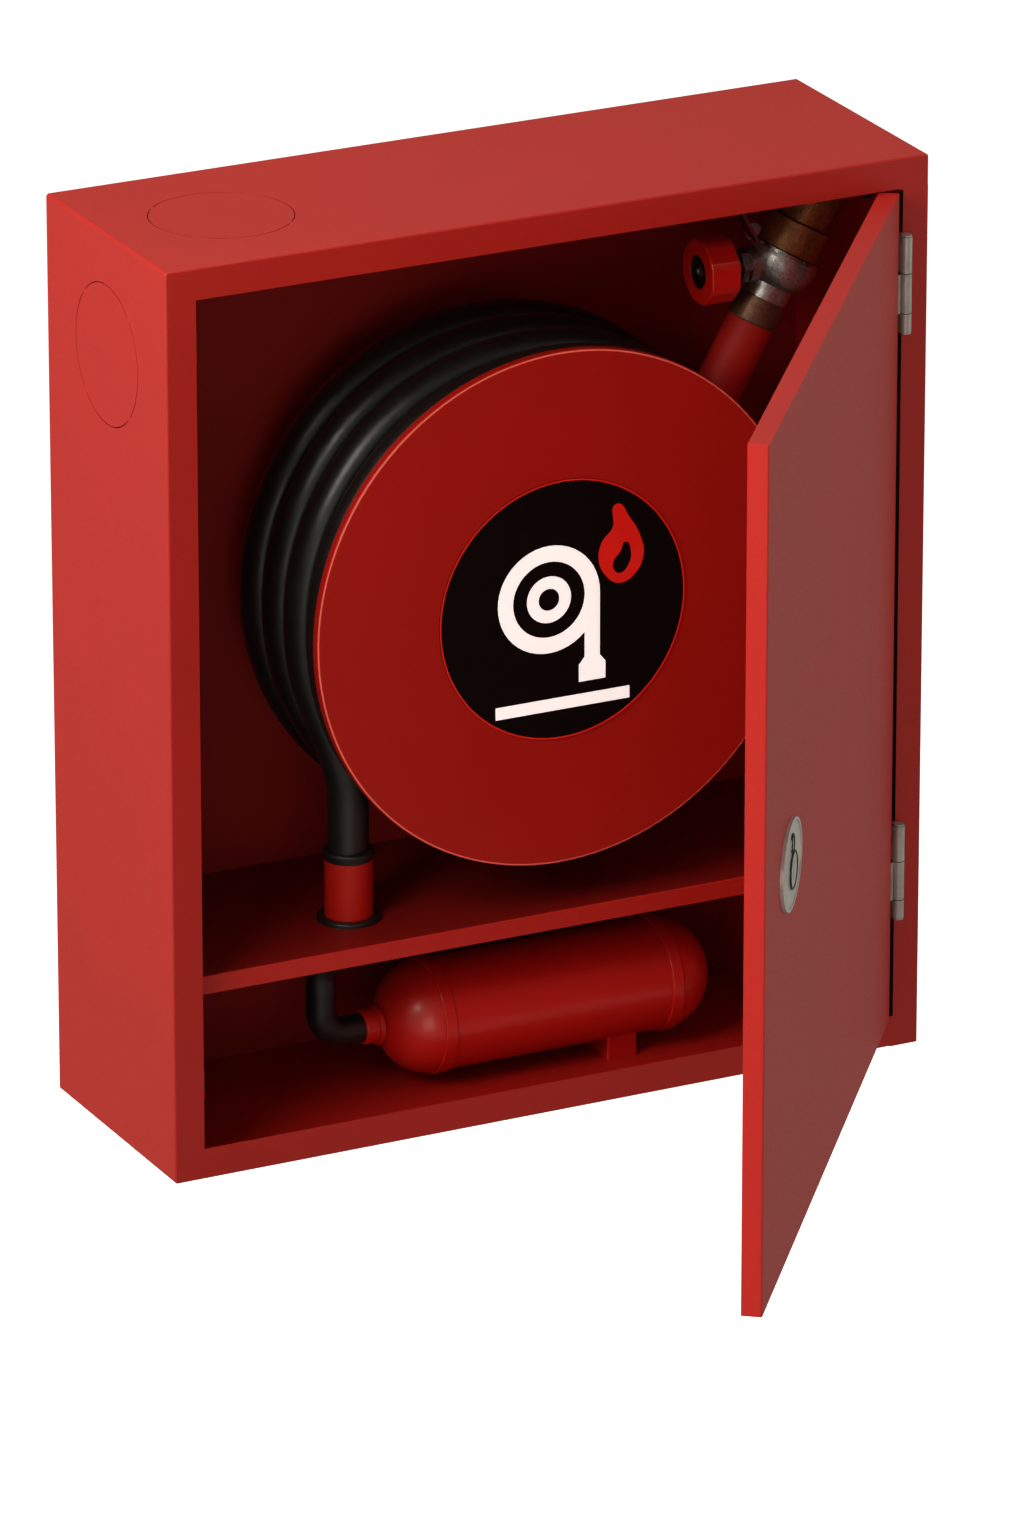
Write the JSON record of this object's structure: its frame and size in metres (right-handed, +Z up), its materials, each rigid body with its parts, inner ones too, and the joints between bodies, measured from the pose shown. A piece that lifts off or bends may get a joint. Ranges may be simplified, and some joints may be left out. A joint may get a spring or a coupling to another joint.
{
  "type": "fire hose reel cabinet",
  "caption": "Wall-hung steel cabinet with an open hinged door, wound hose reel, oblique screw-down stop valve, and a foam tank below its shelf.",
  "frame": {"origin": "centre of the back panel's outer face, on the wall", "axes": "+Y into the wall, +Z up, +X to the right of someone who faces the door"},
  "size_m": [0.655, 0.6942, 0.74],
  "materials": {
    "cabinet_paint": "satin powder coat",
    "door_paint": "satin powder coat",
    "reel_paint": "gloss powder coat",
    "label": "gloss",
    "tank_paint": "gloss",
    "hinge_steel": "satin",
    "lock_plastic": "satin",
    "zinc_steel": "zinc plated",
    "cast_hub": "painted casting",
    "hose_rubber": "satin",
    "black_rubber": "satin",
    "sleeve_red": "satin",
    "pipe_paint": "gloss",
    "valve_casting": "sand cast",
    "valve_bronze": "cast, aged",
    "valve_brass": "turned",
    "valve_steel": "turned",
    "knob_red": "satin"
  },
  "bodies": {
    "cabinet": {"back_panel": "cabinet_paint", "bracket_nuts": "zinc_steel", "cabinet_wrap": "cabinet_paint", "door_bumpers": "black_rubber", "feed_nut": "zinc_steel", "feed_pipe": "zinc_steel", "foam_elbow": "black_rubber", "frame_hinge_leaves": "hinge_steel", "hinge_pins": "hinge_steel", "hinge_stile": "cabinet_paint", "hose_collar": "black_rubber", "hose_sleeve": "sleeve_red", "hose_tail": "hose_rubber", "hub_bracket": "cast_hub", "hub_nut": "zinc_steel", "hub_seals": "black_rubber", "hub_spindle": "zinc_steel", "inlet_elbow": "valve_bronze", "inlet_grommet": "black_rubber", "pipe_coupling": "valve_casting", "shelf": "cabinet_paint", "shelf_grommet": "black_rubber", "shelf_support": "cabinet_paint", "strike_plate": "cabinet_paint", "supply_pipe": "pipe_paint", "tank_barrel": "tank_paint", "tank_clip": "tank_paint", "tank_end_left": "tank_paint", "tank_end_right": "tank_paint", "tank_neck": "tank_paint", "tank_saddle": "tank_paint", "thrust_washer": "zinc_steel", "union_nut": "valve_bronze", "union_tail": "valve_bronze", "valve_body": "valve_casting", "valve_bonnet": "valve_brass", "valve_hanger": "valve_steel"},
    "door": {"door_skin": "door_paint", "door_stiffener": "door_paint", "door_hinge_leaves": "hinge_steel", "lock_escutcheon": "lock_plastic", "lock_housing": "zinc_steel", "lock_nut": "zinc_steel"},
    "lock": {"lock_plug": "lock_plastic", "lock_cam": "zinc_steel", "cam_screw": "zinc_steel"},
    "reel": {"front_disc": "reel_paint", "rear_disc": "reel_paint", "label_plate": "label", "drum": "reel_paint", "outlet_elbow": "cast_hub", "hub_housing": "cast_hub", "tie_rods": "zinc_steel", "tie_nuts": "zinc_steel", "hose_coil": "hose_rubber"},
    "valve_spindle": {"valve_stem": "valve_steel", "valve_knob": "knob_red", "knob_nut": "valve_steel"},
    "jumper": {"valve_jumper": "valve_brass", "jumper_washer": "black_rubber"}
  },
  "joints": [
    {"name": "door_hinge", "type": "hinge", "parent": "cabinet", "child": "door", "pos_m": [0.3034, -0.22, 0], "axis": [0, 0, 1], "range_deg": [-52.5, 117.5]},
    {"name": "lock_turn", "type": "hinge", "parent": "door", "child": "lock", "pos_m": [-0.00336, -0.61157, -0.026], "axis": [-0.7934, 0.6088, 0], "range_deg": [0, 90]},
    {"name": "reel_spin", "type": "hinge", "parent": "cabinet", "child": "reel", "pos_m": [0.018, 0, 0.04], "axis": [0, 1, 0], "continuous": true},
    {"name": "valve_turn", "type": "hinge", "parent": "cabinet", "child": "valve_spindle", "pos_m": [0.251, -0.115, 0.266], "axis": [-1, 0, 0], "range_deg": [0, 900]},
    {"name": "jumper_lift", "type": "slide", "parent": "cabinet", "child": "jumper", "axis": [-1, 0, 0], "range_m": [0, 0.005]}
  ],
  "couplings": [
    {"joint": "jumper_lift", "follows": "valve_turn", "m_per_rad": 0.00031831}
  ]
}
